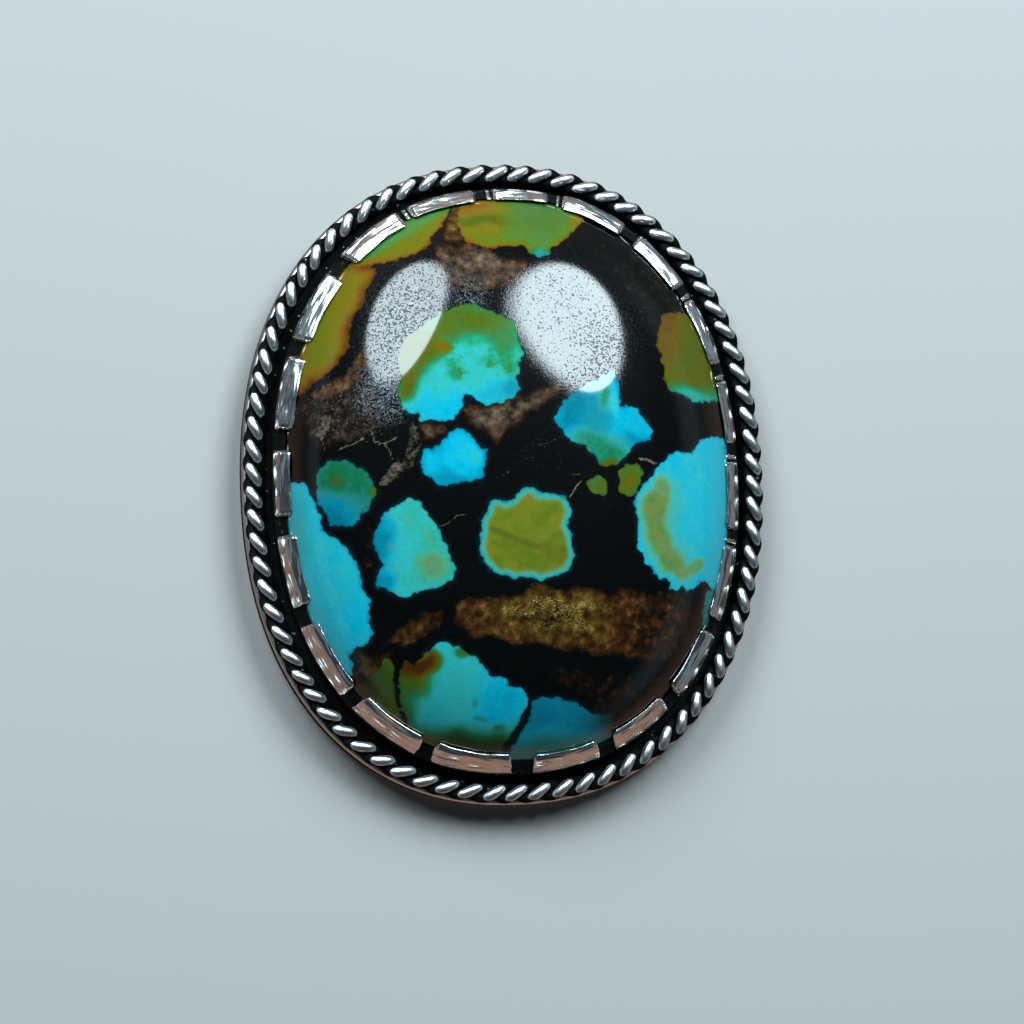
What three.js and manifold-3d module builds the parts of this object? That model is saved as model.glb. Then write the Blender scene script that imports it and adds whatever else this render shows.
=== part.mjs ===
// An oval turquoise cabochon in a silver setting: a back plate, a notched bezel whose tabs fold in over
// the stone's edge, and two wires twisted into a rope round the bezel.
// Millimetres, +Z up. The origin is the middle of the back plate's underside, the long axis runs along Y.
import * as THREE from "three";
import { mergeVertices } from "three/addons/utils/BufferGeometryUtils.js";
import Module from "manifold-3d";

// Driving dimensions: every outline is the stone's oval, set out or in by an offset
const STONE_WIDTH = 26.6;
const STONE_LENGTH = 33.6;
const OVAL_POWER = 2.22; // 2 is an ellipse, a little more squares its shoulders
const OVAL_SIDES = 64;
const JOINT_GAP = 0.04; // clearance between pieces that rest on each other

// Back plate
const PLATE_OFFSET = 2.2;
const PLATE_THICKNESS = 1.6;
const PLATE_EDGE = 0.2; // the worn edge, as a chamfer

// Bezel: a standing wall with tabs along its top
const WALL_INNER_OFFSET = 0.1;
const WALL_OUTER_OFFSET = 0.5;
const NOTCH_HEIGHT = 3.1; // the notches go down to here
const TABS_START = 0.75; // the stone's bottom end, as a share of the way round from its right end
// Where each tab starts and ends, in mm round the stone: the strip was notched by hand, so no two are alike
const TAB_SPANS = [
  [0.8, 4.8], [5.8, 9.6], [10.5, 14.6], [15.5, 19.9], [20.9, 24.9], [26.1, 29.8], [30.8, 34.9],
  [35.8, 39.6], [40.6, 44.6], [45.5, 48.8], [49.8, 53.8], [54.6, 58.7], [59.7, 64.1], [65.1, 69.5],
  [70.6, 74.5], [75.6, 79.8], [80.9, 85.4], [86.3, 90.7], [91.7, 96.4],
];
const TAB_ROOT = 2.6; // how far down a tab is let into the wall
const TAB_BEND_HEIGHT = 3.2;
const TAB_RIDGE_OFFSET = 0.04; // between a tab's steep outer face and its filed top face
const TAB_RIDGE_HEIGHT = 4.1;
const TAB_LIP_OFFSET = -0.47; // the tab's inner edge, just clear of the dome
const TAB_LIP_HEIGHT = 4.42;

// Rope: two round wires twisted together
const ROPE_OFFSET = 1.54; // its middle line
const ROPE_TURNS = 39;
const WIRE_RADIUS = 0.28;
const TWIST_RADIUS = 0.31; // from the rope's middle to each wire's
const STEPS_PER_TURN = 7;
const WIRE_SIDES = 6;

// Stone: a short straight girdle under a dome
const GIRDLE_HEIGHT = 2.6;
const STONE_TOP = 8.6;
const DOME_POWER = 2.3; // fuller in the shoulders than an ellipse
const DOME_RINGS = 9;

// A closed path round the oval, evenly walked by getPointAt and getSpacedPoints
function ovalPath(offset) {
  const points = [];
  const bend = 2 / OVAL_POWER;
  for (let i = 0; i < OVAL_SIDES * 2; i++) {
    const turn = (i / (OVAL_SIDES * 2)) * 2 * Math.PI;
    const across = Math.cos(turn);
    const along = Math.sin(turn);
    const x = (STONE_WIDTH / 2 + offset) * Math.sign(across) * Math.abs(across) ** bend;
    const y = (STONE_LENGTH / 2 + offset) * Math.sign(along) * Math.abs(along) ** bend;
    points.push(new THREE.Vector3(x, y, 0));
  }
  return new THREE.CatmullRomCurve3(points, true);
}

// The same oval as a list of corners, for shapes and rings
function ovalCorners(offset) {
  const corners = ovalPath(offset).getSpacedPoints(OVAL_SIDES);
  corners.pop(); // the last corner repeats the first
  return corners.map((corner) => new THREE.Vector2(corner.x, corner.y));
}

// Back plate
function makeBackPlate() {
  const outline = new THREE.Shape(ovalCorners(PLATE_OFFSET - PLATE_EDGE));
  const geometry = new THREE.ExtrudeGeometry(outline, {
    depth: PLATE_THICKNESS - 2 * PLATE_EDGE,
    steps: 1,
    bevelEnabled: true,
    bevelSize: PLATE_EDGE,
    bevelThickness: PLATE_EDGE,
    bevelSegments: 1,
  });
  return geometry.translate(0, 0, PLATE_EDGE);
}

// Bezel
const wasm = await Module();
wasm.setup();

function toSolid(geometry) {
  const bare = new THREE.BufferGeometry();
  bare.setAttribute("position", geometry.getAttribute("position"));
  const merged = mergeVertices(bare, 1e-4);
  const vertProperties = merged.getAttribute("position").array;
  const triVerts = new Uint32Array(merged.index.array);
  return new wasm.Manifold(new wasm.Mesh({ numProp: 3, vertProperties, triVerts }));
}

function toGeometry(solid) {
  const { vertProperties, triVerts } = solid.getMesh();
  const geometry = new THREE.BufferGeometry();
  geometry.setAttribute("position", new THREE.BufferAttribute(vertProperties, 3));
  geometry.setIndex(new THREE.BufferAttribute(triVerts, 1));
  return geometry;
}

// One tab: its section, outward against up, drawn out along the wall and set at a share of the way round
function makeTab(path, share, length) {
  const section = new THREE.Shape([
    new THREE.Vector2(WALL_INNER_OFFSET, TAB_ROOT),
    new THREE.Vector2(WALL_OUTER_OFFSET, TAB_ROOT),
    new THREE.Vector2(WALL_OUTER_OFFSET, TAB_BEND_HEIGHT),
    new THREE.Vector2(TAB_RIDGE_OFFSET, TAB_RIDGE_HEIGHT),
    new THREE.Vector2(TAB_LIP_OFFSET, TAB_LIP_HEIGHT),
    new THREE.Vector2(WALL_INNER_OFFSET, TAB_BEND_HEIGHT),
  ]);
  const geometry = new THREE.ExtrudeGeometry(section, { depth: length, bevelEnabled: false });
  geometry.translate(0, 0, -length / 2);
  const along = path.getTangentAt(share);
  const up = new THREE.Vector3(0, 0, 1);
  const outward = new THREE.Vector3().crossVectors(along, up);
  const placed = new THREE.Matrix4().makeBasis(outward, up, along.negate());
  placed.setPosition(path.getPointAt(share));
  return geometry.applyMatrix4(placed);
}

function makeBezel() {
  const outline = new THREE.Shape(ovalCorners(WALL_OUTER_OFFSET));
  outline.holes.push(new THREE.Path(ovalCorners(WALL_INNER_OFFSET)));
  const foot = PLATE_THICKNESS + JOINT_GAP;
  const wall = new THREE.ExtrudeGeometry(outline, { depth: NOTCH_HEIGHT - foot, bevelEnabled: false });
  let bezel = toSolid(wall.translate(0, 0, foot));
  const path = ovalPath(0);
  for (const [start, end] of TAB_SPANS) {
    const share = (TABS_START + (start + end) / 2 / path.getLength()) % 1;
    bezel = bezel.add(toSolid(makeTab(path, share, end - start)));
  }
  return toGeometry(bezel);
}

// Rope wires: the middle line of one wire winds round the rope's own middle line
class WireLine extends THREE.Curve {
  constructor(startAngle) {
    super();
    this.rope = ovalPath(ROPE_OFFSET);
    this.startAngle = startAngle;
    this.height = PLATE_THICKNESS + JOINT_GAP + TWIST_RADIUS + WIRE_RADIUS;
    this.arcLengthDivisions = ROPE_TURNS * STEPS_PER_TURN * 4;
  }
  getPoint(share) {
    const onRope = share - Math.floor(share);
    const angle = this.startAngle + 2 * Math.PI * ROPE_TURNS * onRope;
    const along = this.rope.getTangentAt(onRope);
    const outward = new THREE.Vector3(along.y, -along.x, 0);
    const point = this.rope.getPointAt(onRope);
    point.addScaledVector(outward, TWIST_RADIUS * Math.cos(angle));
    point.z = this.height + TWIST_RADIUS * Math.sin(angle);
    return point;
  }
}

function makeRopeWire(startAngle) {
  const line = new WireLine(startAngle);
  return new THREE.TubeGeometry(line, ROPE_TURNS * STEPS_PER_TURN, WIRE_RADIUS, WIRE_SIDES, true);
}

// Stone: turned to its profile as a round of radius 1, then pressed to the oval
function makeStone() {
  const profile = [new THREE.Vector2(0, PLATE_THICKNESS + JOINT_GAP)];
  profile.push(new THREE.Vector2(1, PLATE_THICKNESS + JOINT_GAP));
  for (let i = 0; i < DOME_RINGS; i++) {
    const rise = Math.sin((i / DOME_RINGS) * (Math.PI / 2));
    const radius = (1 - rise ** 2) ** (1 / DOME_POWER);
    profile.push(new THREE.Vector2(radius, GIRDLE_HEIGHT + rise * (STONE_TOP - GIRDLE_HEIGHT)));
  }
  profile.push(new THREE.Vector2(0, STONE_TOP));
  const geometry = new THREE.LatheGeometry(profile, OVAL_SIDES).rotateX(Math.PI / 2);
  const corners = ovalCorners(0);
  const position = geometry.getAttribute("position");
  for (let i = 0; i < position.count; i++) {
    const radius = Math.hypot(position.getX(i), position.getY(i));
    const turn = Math.atan2(position.getY(i), position.getX(i)) / (2 * Math.PI);
    const corner = corners[(Math.round(turn * OVAL_SIDES) + OVAL_SIDES) % OVAL_SIDES];
    position.setXY(i, radius * corner.x, radius * corner.y);
  }
  return geometry;
}

// The setting, put together
const silver = { color: 0xc9c9c4, roughness: 0.3, metalness: 1 };
const turquoise = { color: 0x2fa9b4, roughness: 0.15, metalness: 0 };
const pieces = {
  back_plate: [makeBackPlate(), silver],
  bezel: [makeBezel(), silver],
  rope_wire_a: [makeRopeWire(0), silver],
  rope_wire_b: [makeRopeWire(Math.PI), silver],
  turquoise_stone: [makeStone(), turquoise],
};

const cabochon = new THREE.Group();
for (const [name, [geometry, finish]] of Object.entries(pieces)) {
  const mesh = new THREE.Mesh(geometry, new THREE.MeshStandardMaterial(finish));
  mesh.name = name;
  cabochon.add(mesh);
}

export default cabochon;
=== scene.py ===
"""A turquoise cabochon in an oxidised silver setting, laid on its back plate and looked down on."""
import math

import bpy
import numpy as np
from mathutils import Matrix, Vector


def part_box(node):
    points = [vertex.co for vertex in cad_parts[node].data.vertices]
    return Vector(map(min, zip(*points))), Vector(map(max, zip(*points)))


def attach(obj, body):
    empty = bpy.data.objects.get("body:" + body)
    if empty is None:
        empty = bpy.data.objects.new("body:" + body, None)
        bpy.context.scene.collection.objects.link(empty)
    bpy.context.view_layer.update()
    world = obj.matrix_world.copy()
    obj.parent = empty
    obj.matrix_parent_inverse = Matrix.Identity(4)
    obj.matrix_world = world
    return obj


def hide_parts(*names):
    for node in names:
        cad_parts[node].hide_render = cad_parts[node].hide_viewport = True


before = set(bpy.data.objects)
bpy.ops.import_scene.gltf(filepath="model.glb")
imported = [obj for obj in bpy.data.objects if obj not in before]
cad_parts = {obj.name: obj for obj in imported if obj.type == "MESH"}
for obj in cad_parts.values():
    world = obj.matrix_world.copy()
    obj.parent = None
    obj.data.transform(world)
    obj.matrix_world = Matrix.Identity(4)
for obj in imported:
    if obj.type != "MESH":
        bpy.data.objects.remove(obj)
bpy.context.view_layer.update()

# Camera
# It looks down from a little to the left of the stone's middle and a little below it, through a long lens,
# and is turned slightly, so that the oval leans to the left in the picture.
MM = 0.001
PICTURE_SIZE = 1024
PLATE_MIDDLE_IN_PICTURE = (500.2, 485.6)
PICTURE_PIXELS_PER_MM = 16.8
CAMERA_DISTANCE = 220 * MM
CAMERA_TO_LEFT = math.radians(7.9)
CAMERA_BELOW = math.radians(5.8)
CAMERA_TURN = math.radians(2.1)
SENSOR_WIDTH = 36

scene = bpy.context.scene
scene.view_settings.view_transform = "Standard"

toward_camera = Vector((-math.tan(CAMERA_TO_LEFT), -math.tan(CAMERA_BELOW), 1)).normalized()
picture_up = Vector((math.sin(CAMERA_TURN), math.cos(CAMERA_TURN), 0))
picture_up = (picture_up - toward_camera * picture_up.dot(toward_camera)).normalized()
picture_right = picture_up.cross(toward_camera)

pixel = MM / PICTURE_PIXELS_PER_MM
plate_to_right = (PLATE_MIDDLE_IN_PICTURE[0] - PICTURE_SIZE / 2) * pixel
plate_upward = (PICTURE_SIZE / 2 - PLATE_MIDDLE_IN_PICTURE[1]) * pixel
camera_place = toward_camera * CAMERA_DISTANCE - picture_right * plate_to_right - picture_up * plate_upward

camera = bpy.data.cameras.new("camera")
camera.sensor_width = SENSOR_WIDTH
camera.lens = SENSOR_WIDTH * CAMERA_DISTANCE / (PICTURE_SIZE * pixel)
camera.clip_start = 1 * MM
camera_object = bpy.data.objects.new("camera", camera)
camera_axes = Matrix((picture_right, picture_up, toward_camera)).transposed()
camera_object.matrix_world = Matrix.Translation(camera_place) @ camera_axes.to_4x4()
scene.collection.objects.link(camera_object)
scene.camera = camera_object


def in_picture(points):
    """Where the camera sees points, in pixels of the picture, from its top left corner."""
    seen = (points - np.array(camera_place)) @ np.array(camera_axes)
    scale = CAMERA_DISTANCE / pixel / -seen[:, 2]
    return np.column_stack((PICTURE_SIZE / 2 + seen[:, 0] * scale, PICTURE_SIZE / 2 - seen[:, 1] * scale))


# Back plate
# An oval of silver sheet that carries the whole setting. Its edge was filed round. It was blackened with
# the rest of the setting, and then its rim and its back were rubbed to a satin.
OVAL_POWER = 2.22
OVAL_STEPS = 4000
PLATE_EDGE_RADIUS = 0.32 * MM
PLATE_SIDES = 320
EDGE_STEPS = 6
OXIDE_GLOSS = 0.1
BRIGHT_SILVER = (0.88, 0.91, 0.93, 1)
TARNISHED_SILVER = (0.58, 0.52, 0.45, 1)
BLACK_OXIDE = (0.003, 0.0035, 0.0035, 1)
stone_low, stone_high = (np.array(corner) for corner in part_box("turquoise_stone"))
plate_low, plate_high = (np.array(corner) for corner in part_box("back_plate"))


def oval(offset, shares):
    """Points on the stone's oval, set out by an offset, at shares of the way round from its right end."""
    turn = np.linspace(0, 2 * np.pi, OVAL_STEPS + 1)
    across, along = np.cos(turn), np.sin(turn)
    bend = 2 / OVAL_POWER
    x = (stone_high[0] + offset) * np.sign(across) * np.abs(across) ** bend
    y = (stone_high[1] + offset) * np.sign(along) * np.abs(along) ** bend
    walked = np.concatenate(([0], np.cumsum(np.hypot(np.diff(x), np.diff(y)))))
    wanted = shares % 1 * walked[-1]
    return np.column_stack((np.interp(wanted, walked, x), np.interp(wanted, walked, y)))


def new_piece(name, points, faces):
    """A smooth mesh object in the scene."""
    mesh = bpy.data.meshes.new(name)
    mesh.from_pydata(points.tolist(), [], faces)
    mesh.shade_smooth()
    piece = bpy.data.objects.new(name, mesh)
    scene.collection.objects.link(piece)
    return piece


def wall_faces(low, high):
    """Four-sided faces between two rings of points, given by their numbers, with the outside outward."""
    return np.column_stack((low, np.roll(low, -1), np.roll(high, -1), high)).tolist()


def cap_faces(middle, ring, upward):
    """Three-sided faces from a middle point to a ring."""
    pairs = zip(ring.tolist(), np.roll(ring, -1).tolist())
    return [[middle, a, b] if upward else [middle, b, a] for a, b in pairs]


class Node:
    """A node added to a tree, with its inputs filled by plain values or by what other nodes put out."""

    def __init__(self, tree, kind, inputs=None, **settings):
        self.tree = tree
        self.made = tree.nodes.new(kind)
        for name, value in settings.items():
            setattr(self.made, name, value)
        for key, value in (inputs or {}).items():
            if isinstance(value, Value):
                tree.links.new(value.socket, self.made.inputs[key])
            else:
                self.made.inputs[key].default_value = value

    def __getitem__(self, output):
        return Value(self.tree, self.made.outputs[output])


class Value:
    """What a node puts out. A sum with numbers or vectors adds the node that works it out."""

    def __init__(self, tree, socket):
        self.tree = tree
        self.socket = socket
        self.is_vector = socket.type in ("VECTOR", "RGBA")

    def __add__(self, other):
        return worked_out("ADD", self, other)

    def __sub__(self, other):
        return worked_out("SUBTRACT", self, other)

    def __rsub__(self, other):
        return worked_out("SUBTRACT", other, self)

    def __mul__(self, other):
        if self.is_vector:
            return Node(self.tree, "ShaderNodeVectorMath", {0: self, "Scale": other}, operation="SCALE")[0]
        return worked_out("MULTIPLY", self, other)

    def __truediv__(self, other):
        return worked_out("DIVIDE", self, other)

    def __abs__(self):
        return worked_out("ABSOLUTE", self)


def worked_out(operation, *values):
    """The output of a Math node, or of a Vector Math node if a vector goes in."""
    from_nodes = [value for value in values if isinstance(value, Value)]
    kind = "ShaderNodeVectorMath" if any(value.is_vector for value in from_nodes) else "ShaderNodeMath"
    return Node(from_nodes[0].tree, kind, dict(enumerate(values)), operation=operation)[0]


def larger(first, second):
    """The larger of two values."""
    return worked_out("MAXIMUM", first, second)


def smooth(value, low, high):
    """A value eased from 0 at low to 1 at high."""
    inputs = {"Value": value, "From Min": low, "From Max": high}
    return Node(value.tree, "ShaderNodeMapRange", inputs, interpolation_type="SMOOTHSTEP")["Result"]


def fading(value, low, high):
    """A value eased from 1 at low to 0 at high."""
    return 1.0 - smooth(value, low, high)


def blend(share, first, second):
    """A mix of two colours."""
    share_socket, first_socket, second_socket, result_socket = 0, 6, 7, 2
    inputs = {share_socket: share, first_socket: first, second_socket: second}
    return Node(share.tree, "ShaderNodeMix", inputs, data_type="RGBA")[result_socket]


def noise(place, scale, detail=2.0, roughness=0.5, distortion=0.0):
    """A cloudy value from 0 to 1."""
    inputs = {"Vector": place, "Scale": scale, "Detail": detail, "Roughness": roughness}
    inputs["Distortion"] = distortion
    return Node(place.tree, "ShaderNodeTexNoise", inputs)["Fac"]


def spread(value, amount):
    """A 0 to 1 value moved to run from minus half the amount to plus half of it."""
    return value * amount - amount / 2


def parts_of(vector):
    """The X, Y and Z of a vector."""
    return Node(vector.tree, "ShaderNodeSeparateXYZ", {"Vector": vector})


def place_in_mm(tree):
    """The point of the piece, in millimetres."""
    return Node(tree, "ShaderNodeTexCoord")["Object"] * (1 / MM)


def add_sockets(tree, way, kinds):
    """Gives a tree its named inputs or outputs."""
    for name, kind in kinds.items():
        tree.interface.new_socket(name, in_out=way, socket_type="NodeSocket" + kind)


def make_oxidised_silver():
    """A group: silver where a piece is rubbed bright, and black oxide with a few glints where it is not."""
    tree = bpy.data.node_groups.new("Oxidised silver", "ShaderNodeTree")
    inputs = {"Place": "Vector", "Bright": "Float", "Tarnish": "Float", "Dullness": "Float"}
    outputs = {"Color": "Color", "Roughness": "Float", "Metallic": "Float", "Height": "Float"}
    add_sockets(tree, "INPUT", inputs)
    add_sockets(tree, "OUTPUT", outputs)
    given = Node(tree, "NodeGroupInput")
    place = given["Place"]
    fine = noise(place, 6.0, 4.0, 0.6)
    rubbed = smooth(given["Bright"] + spread(fine, 0.7), 0.3, 0.7)
    glints = smooth(noise(place, 3.2, 2.0), 0.71, 0.77) * (1.0 - rubbed)
    rubbed = larger(rubbed, glints)
    stain = smooth(noise(place, 0.7, 3.0), 0.45, 0.75) * given["Tarnish"]
    outputs = {
        "Color": blend(rubbed, BLACK_OXIDE, blend(stain, BRIGHT_SILVER, TARNISHED_SILVER)),
        "Roughness": (1.0 - rubbed) * 0.4 + (fine * 0.16 + given["Dullness"]),
        "Metallic": rubbed,
        "Height": glints * 0.6 + (fine * 0.04 + noise(place, 1.6, 1.0)),
    }
    Node(tree, "NodeGroupOutput", outputs)
    return tree


oxidised_silver = make_oxidised_silver()


def new_material(name):
    """An empty material."""
    material = bpy.data.materials.new(name)
    material.use_nodes = True
    material.node_tree.nodes.clear()
    return material


def finish_material(tree, inputs):
    """Ends a material's tree with its shader."""
    shader = Node(tree, "ShaderNodeBsdfPrincipled", inputs)
    Node(tree, "ShaderNodeOutputMaterial", {"Surface": shader["BSDF"]})


def silver_material(name, place, bright, tarnish, dullness, wave):
    """A silver finish. place and bright add the nodes for where a point is and whether it is rubbed bright,
    and wave is how uneven the file and the rubbing left it."""
    material = new_material(name)
    tree = material.node_tree
    inputs = {"Place": place(tree), "Bright": bright(tree), "Tarnish": tarnish, "Dullness": dullness}
    finish = Node(tree, "ShaderNodeGroup", inputs, node_tree=oxidised_silver)
    bump = Node(tree, "ShaderNodeBump", {"Height": finish["Height"], "Strength": 1.0, "Distance": wave})
    finish_material(tree, {
        "Base Color": finish["Color"],
        "Roughness": finish["Roughness"],
        "Metallic": finish["Metallic"],
        "Normal": bump["Normal"],
        "Specular IOR Level": OXIDE_GLOSS,
    })
    return material


def bright_plate(tree):
    """The top rim and the back are rubbed, the side and the face stay black."""
    height = parts_of(place_in_mm(tree))["Z"]
    bottom, top = (float(corner[2] / MM) for corner in (plate_low, plate_high))
    below_face = top - height
    rim = fading(below_face, 0.15, 0.35) * smooth(below_face, 0.0, 0.03)
    return larger(fading(height, bottom + 0.1, bottom + 0.4), rim)


plate_offset = plate_high[0] - stone_high[0]
arc = np.linspace(0, np.pi / 2, EDGE_STEPS)
edge_inset = PLATE_EDGE_RADIUS * (1 - np.sin(arc))
edge_rise = PLATE_EDGE_RADIUS * (1 - np.cos(arc))
plate_insets = np.concatenate((edge_inset, edge_inset[::-1]))
plate_heights = np.concatenate((plate_low[2] + edge_rise, plate_high[2] - edge_rise[::-1]))
plate_shares = np.arange(PLATE_SIDES) / PLATE_SIDES
plate_points = [np.insert(oval(plate_offset - inset, plate_shares), 2, height, axis=1)
                for inset, height in zip(plate_insets, plate_heights)]
plate_points.append([[0, 0, plate_low[2]], [0, 0, plate_high[2]]])
plate_points = np.concatenate(plate_points)
rings = np.arange(len(plate_points) - 2).reshape(-1, PLATE_SIDES)
plate_faces = [face for low, high in zip(rings, rings[1:]) for face in wall_faces(low, high)]
plate_faces += cap_faces(len(plate_points) - 2, rings[0], upward=False)
plate_faces += cap_faces(len(plate_points) - 1, rings[-1], upward=True)
back_plate = new_piece("silver_back_plate", plate_points, plate_faces)
satin_silver = silver_material("satin silver", place_in_mm, bright_plate,
                               tarnish=0.5, dullness=0.27, wave=0.015 * MM)
back_plate.data.materials.append(satin_silver)
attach(back_plate, "root")
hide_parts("back_plate")

# Bezel
# A silver strip bent round the stone and soldered on edge to the plate. Its top was notched by hand, and
# the tabs between the notches were pushed in over the stone and filed. Only the tabs were rubbed bright.
BEZEL_COLUMNS = 1400
CORNER_RADIUS = 0.09
FLAT_STEPS = 5
LINE_STEPS = 720
NOTCH_HEIGHT = 3.1 * MM
TAB_END_RADIUS = 0.28 * MM
TAB_SLANTS = 0.4 / MM
BURR_HEIGHT = 0.55  # as a share of a tab's
BURR_START, BURR_FULL, BURR_END = -0.5, -1.2, -1.6  # past a tab's end, in end radii
TAB_UNEVENNESS = 0.20 * MM
DENTS_ALONG, DENTS_ACROSS, DENTS_BY_TAB = 0.45 / MM, 1.3 / MM, 3 / MM
TAB_BLACK_HEIGHT = 3.18 * MM
BROAD_TAB_BLACK = 0.35 * MM
RUBBED_EDGE = 0.18 * MM
SEAM = 0.001 * MM
BOTTOM_END = 0.75  # as a share of the way round the oval
bezel_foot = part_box("bezel")[0][2] / MM
STRIP_FOOT = [(0.10, bezel_foot), (0.50, bezel_foot)]
# The strip's section above its foot, outward and up in mm: in the notches, at a tab, at a tab that is folded
# further, at one whose top is filed broad, and at one whose side is filed broad
SECTIONS = {
    "Wall Section": [(0.50, 3.05), (0.24, 3.50), (-0.22, 3.90), (0.10, 3.05)],
    "Tab Section": [(0.50, 3.15), (0.05, 4.08), (-0.44, 4.40), (0.10, 3.15)],
    "Long Section": [(0.50, 3.20), (0.08, 4.20), (-0.68, 4.70), (0.10, 3.15)],
    "Broad Section": [(0.50, 3.45), (0.32, 4.08), (-0.50, 4.47), (0.10, 3.15)],
    "Side Section": [(0.50, 3.15), (-0.20, 4.16), (-0.60, 4.50), (0.10, 3.15)],
}
# Each tab: where it starts and ends, in mm round the stone from its bottom end, how far it is folded, how
# broad its top and its side are filed, and whether a burr stands past its end
TABS = [
    (0.8, 4.8, 0.0, 0.0, 0.9, 0), (5.8, 9.6, 0.1, 0.0, 0.9, 0), (10.5, 14.6, 0.4, 0.6, 0.0, 0),
    (15.5, 19.9, 0.2, 0.2, 0.3, 1), (20.9, 24.9, 0.0, 0.3, 0.2, 1), (26.1, 29.8, -0.4, 0.4, 0.0, 1),
    (30.8, 34.9, -0.2, 0.7, 0.0, 1), (35.8, 39.6, 0.3, 1.0, 0.0, 0), (40.6, 44.6, 0.3, 1.0, 0.0, 1),
    (45.5, 48.8, -0.5, 0.7, 0.0, 1), (49.8, 53.8, 0.0, 0.7, 0.0, 1), (54.6, 58.7, 0.8, 1.0, 0.0, 0),
    (59.7, 64.1, 0.7, 1.0, 0.0, 0), (65.1, 69.5, 0.5, 0.9, 0.0, 0), (70.6, 74.5, 0.1, 0.7, 0.0, 0),
    (75.6, 79.8, 0.2, 0.1, 0.3, 0), (80.9, 85.4, 0.1, 0.0, 0.5, 0), (86.3, 90.7, 0.1, 0.0, 1.0, 0),
    (91.7, 96.4, 0.1, 0.0, 1.0, 0),
]
TAB_NUMBERS = ("half_length", "fold", "breadth", "side", "burr")


def row_of_points(name, points):
    """Loose points that a node tree reads."""
    mesh = bpy.data.meshes.new(name)
    mesh.from_pydata(points.tolist(), [], [])
    return bpy.data.objects.new(name, mesh)


def section_line(name, top):
    """The strip's closed section with its corners rounded, as a row of points."""
    corners = np.array(STRIP_FOOT + top)
    line = []
    for before, corner, after in zip(np.roll(corners, 1, 0), corners, np.roll(corners, -1, 0)):
        back, ahead = before - corner, after - corner
        back_length, ahead_length = np.linalg.norm(back), np.linalg.norm(ahead)
        reach = min(CORNER_RADIUS, back_length / 3, ahead_length / 3)
        into = corner + back / back_length * reach
        out = corner + ahead / ahead_length * reach
        end = after - ahead / ahead_length * min(CORNER_RADIUS, ahead_length / 3)
        line += [into, (into + out + 2 * corner) / 4]
        line += [out + (end - out) * step / FLAT_STEPS for step in range(FLAT_STEPS)]
    return row_of_points(name, np.insert(np.array(line) * MM, 2, 0, axis=1))


def store(mesh, name, values):
    """Keeps one number for each of a mesh's points."""
    mesh.attributes.new(name, "FLOAT", "POINT").data.foreach_set("value", np.asarray(values, np.float32))


def oval_curve(name, offset, height, start):
    """The oval as a closed line for a node tree to follow."""
    curve = bpy.data.curves.new(name, "CURVE")
    curve.dimensions = "3D"
    points = oval(offset, start + np.arange(LINE_STEPS) / LINE_STEPS)
    line = curve.splines.new("POLY")
    line.points.add(len(points) - 1)
    line.points.foreach_set("co", np.insert(points, 2, [[height], [1]], axis=1).ravel())
    line.use_cyclic_u = True
    return curve


def grow(name, tree, curve, values):
    """Runs a node tree along a line and keeps what it makes as a plain mesh."""
    source = bpy.data.objects.new(name + "_line", curve)
    scene.collection.objects.link(source)
    modifier = source.modifiers.new("made along the line", "NODES")
    modifier.node_group = tree
    for item in tree.interface.items_tree:
        if item.in_out == "INPUT" and item.name in values:
            modifier[item.identifier] = values[item.name]
    made = source.evaluated_get(bpy.context.evaluated_depsgraph_get())
    mesh = bpy.data.meshes.new_from_object(made)
    source.modifiers.remove(modifier)
    bpy.data.objects.remove(source)
    piece = bpy.data.objects.new(name, mesh)
    scene.collection.objects.link(piece)
    return piece


def new_tree(name, kinds):
    """An empty geometry tree with named inputs, and what it is given."""
    tree = bpy.data.node_groups.new(name, "GeometryNodeTree")
    add_sockets(tree, "INPUT", {"Line": "Geometry"} | kinds)
    add_sockets(tree, "OUTPUT", {"Geometry": "Geometry"})
    return tree, Node(tree, "NodeGroupInput")


def joined(tree, x, y, z):
    """A vector of three values."""
    return Node(tree, "ShaderNodeCombineXYZ", {"X": x, "Y": y, "Z": z})[0]


def position(tree):
    """Where each point is."""
    return Node(tree, "GeometryNodeInputPosition")[0]


def points_of(source):
    """The points of an object that a tree is given."""
    return Node(source.tree, "GeometryNodeObjectInfo", {"Object": source})["Geometry"]


def read_at(geometry, value, index, kind):
    """What another geometry holds at an index."""
    inputs = {"Geometry": geometry, "Value": value, "Index": index}
    return Node(geometry.tree, "GeometryNodeSampleIndex", inputs, data_type=kind, domain="POINT")["Value"]


def kept_number(tree, name):
    """A number that a geometry keeps for each of its points."""
    return Node(tree, "GeometryNodeInputNamedAttribute", {"Name": name}, data_type="FLOAT")[0]


def keep(geometry, name, value, kind):
    """Keeps a value on the points of what the tree makes, for the material."""
    inputs = {"Geometry": geometry, "Name": name, "Value": value}
    return Node(geometry.tree, "GeometryNodeStoreNamedAttribute", inputs, data_type=kind, domain="POINT")[0]


def outward_of(tangent):
    """The level direction away from the middle of the oval, from a line's own direction."""
    return worked_out("NORMALIZE", worked_out("CROSS_PRODUCT", tangent, (0, 0, 1)))


def finish_tree(geometry, material):
    """Ends a tree: real meshes, smooth, in their material."""
    tree = geometry.tree
    for kind in ("SetShadeSmooth", "RealizeInstances"):
        geometry = Node(tree, "GeometryNode" + kind, {"Geometry": geometry})[0]
    geometry = Node(tree, "GeometryNodeSetMaterial", {"Geometry": geometry, "Material": material})[0]
    Node(tree, "NodeGroupOutput", {"Geometry": geometry})


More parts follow.
